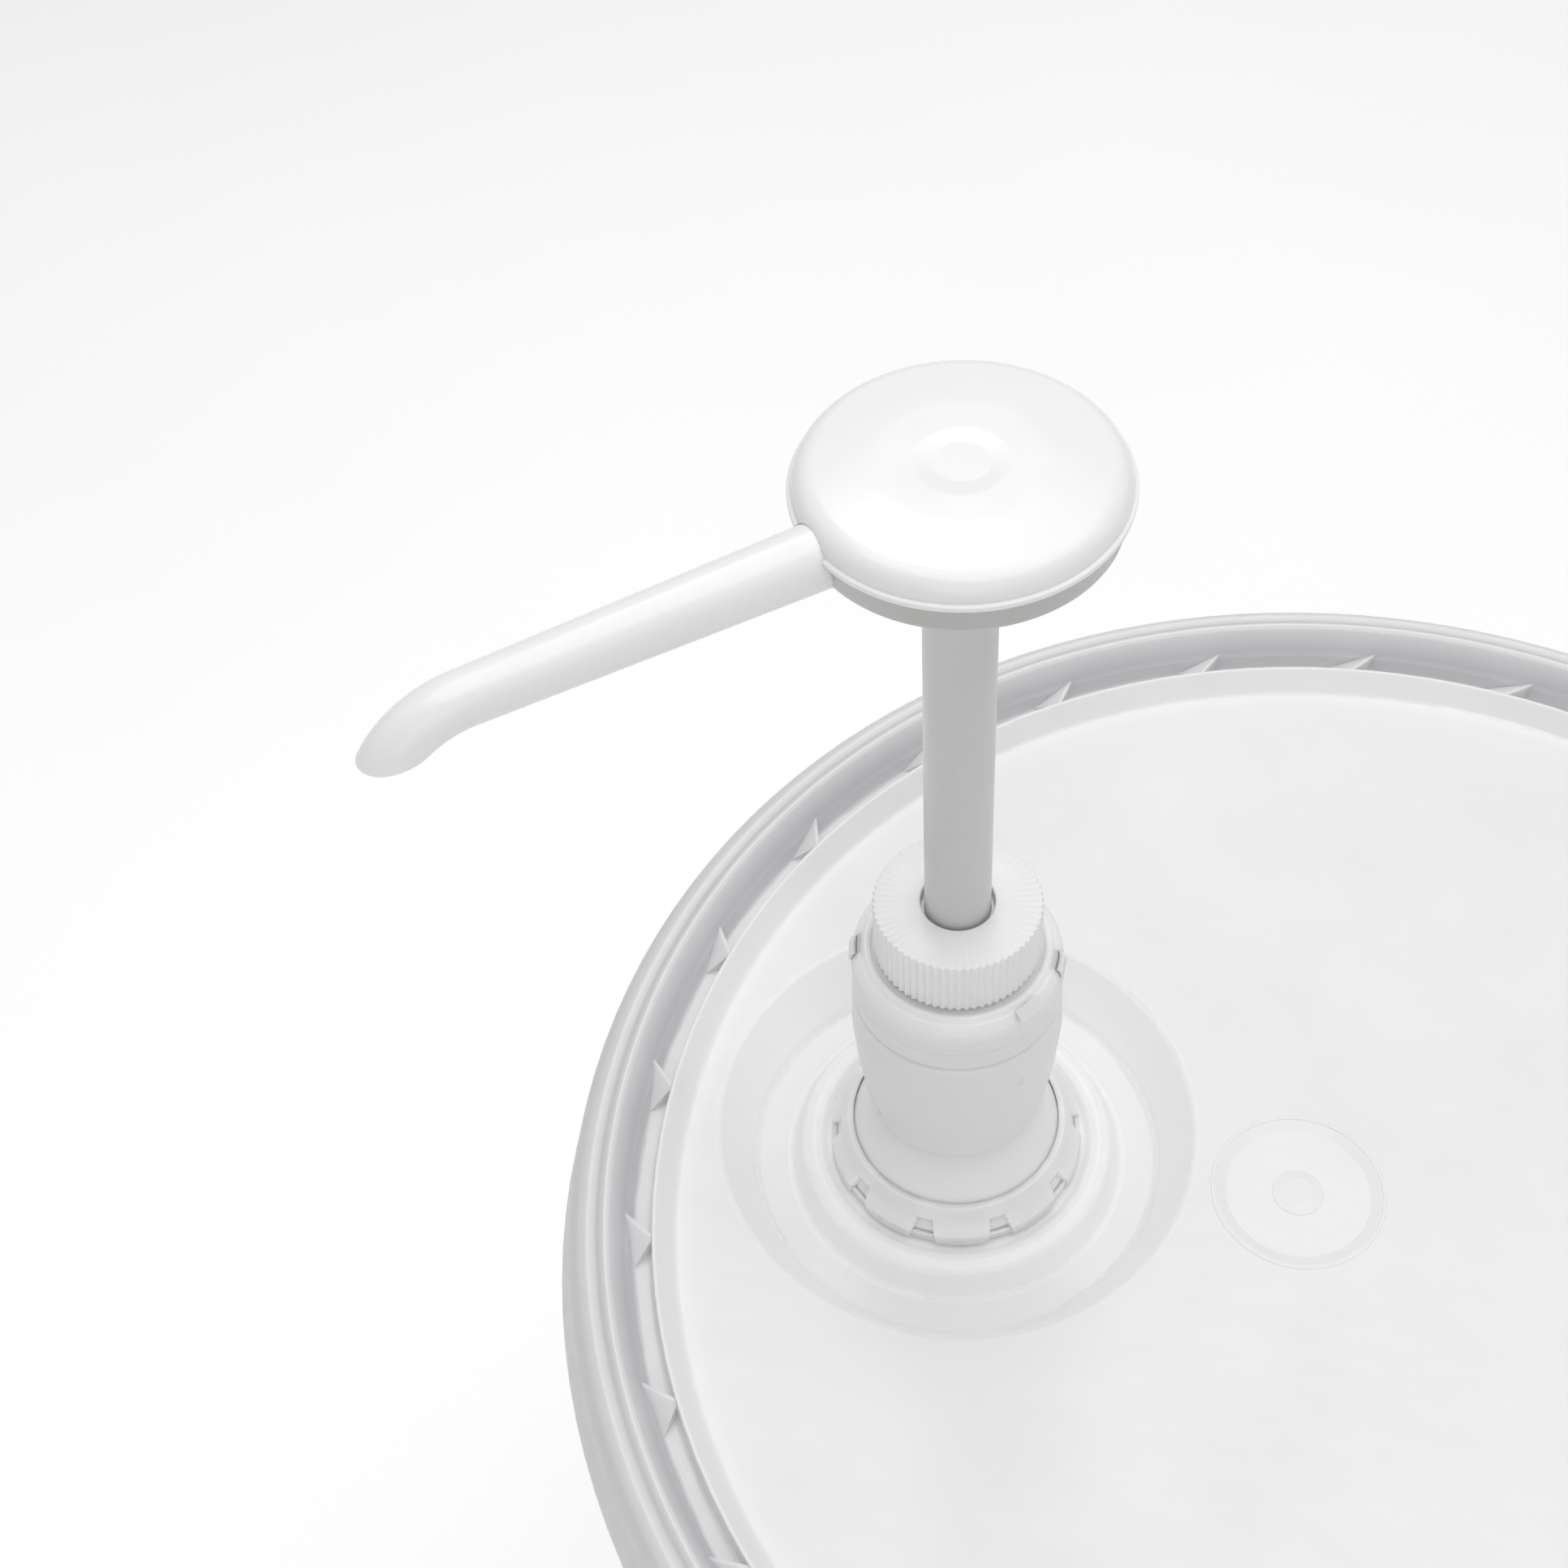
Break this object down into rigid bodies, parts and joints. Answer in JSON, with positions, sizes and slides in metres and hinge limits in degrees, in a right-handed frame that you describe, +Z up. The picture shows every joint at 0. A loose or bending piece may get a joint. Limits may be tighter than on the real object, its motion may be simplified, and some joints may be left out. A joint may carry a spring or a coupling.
{
  "type": "condiment pump on a pail lid",
  "caption": "Push pump for sauces with a round head, long side nozzle, stem and screw collar, standing on the flexible spout of a round pail lid, with barrel, spring, ball valves and dip tube.",
  "frame": {"origin": "centre of the lid on the plane where its gasket meets the pail's rim", "axes": "+Z up along the pump's stem; the pump stands at -X of the lid's centre"},
  "size_m": [0.337, 0.337, 0.5414],
  "materials": {
    "white_plastic": "glossy moulded white polypropylene",
    "lid_plastic": "satin natural-white polyethylene, slightly see-through",
    "spout_plastic": "milky translucent soft polyethylene",
    "natural_plastic": "milky natural polypropylene",
    "seal_plastic": "waxy polyethylene",
    "seal_rubber": "soft white elastomer",
    "gasket_foam": "white foamed gasket",
    "ball_steel": "polished stainless steel",
    "spring_steel": "drawn stainless spring wire"
  },
  "bodies": {
    "base": {"pail_lid": "lid_plastic", "rim_gasket": "gasket_foam", "spout": "spout_plastic", "tear_tab": "white_plastic", "retaining_ring": "spout_plastic", "spout_gasket": "gasket_foam", "collar": "white_plastic", "neck_gasket": "gasket_foam", "stem_guide": "white_plastic", "stem_wiper": "seal_rubber", "return_spring": "spring_steel", "pump_cylinder": "natural_plastic", "foot_valve": "natural_plastic", "inlet_ball_cage": "white_plastic", "dip_tube": "natural_plastic"},
    "piston": {"piston_core": "white_plastic", "piston_cup": "seal_plastic", "piston_retainer": "white_plastic", "discharge_ball_stop": "white_plastic"},
    "head": {"head_base": "white_plastic", "head_cap": "white_plastic", "nozzle": "white_plastic", "stem": "white_plastic"},
    "discharge_ball": {"discharge_ball": "ball_steel"},
    "inlet_ball": {"inlet_ball": "ball_steel"}
  },
  "joints": [
    {"name": "plunger_stroke", "type": "slide", "parent": "base", "child": "piston", "axis": [0, 0, -1], "range_m": [0, 0.09], "stiffness_N_per_m": 150, "springref_m": -0.04, "deforming": ["return_spring"]},
    {"name": "head_swivel", "type": "hinge", "parent": "piston", "child": "head", "pos_m": [-0.0862, 0, 0.0735], "axis": [0, 0, 1], "continuous": true},
    {"name": "discharge_ball_lift", "type": "slide", "parent": "piston", "child": "discharge_ball", "axis": [0, 0, 1], "range_m": [0, 0.003]},
    {"name": "inlet_ball_lift", "type": "slide", "parent": "base", "child": "inlet_ball", "axis": [0, 0, 1], "range_m": [0, 0.0044]}
  ]
}
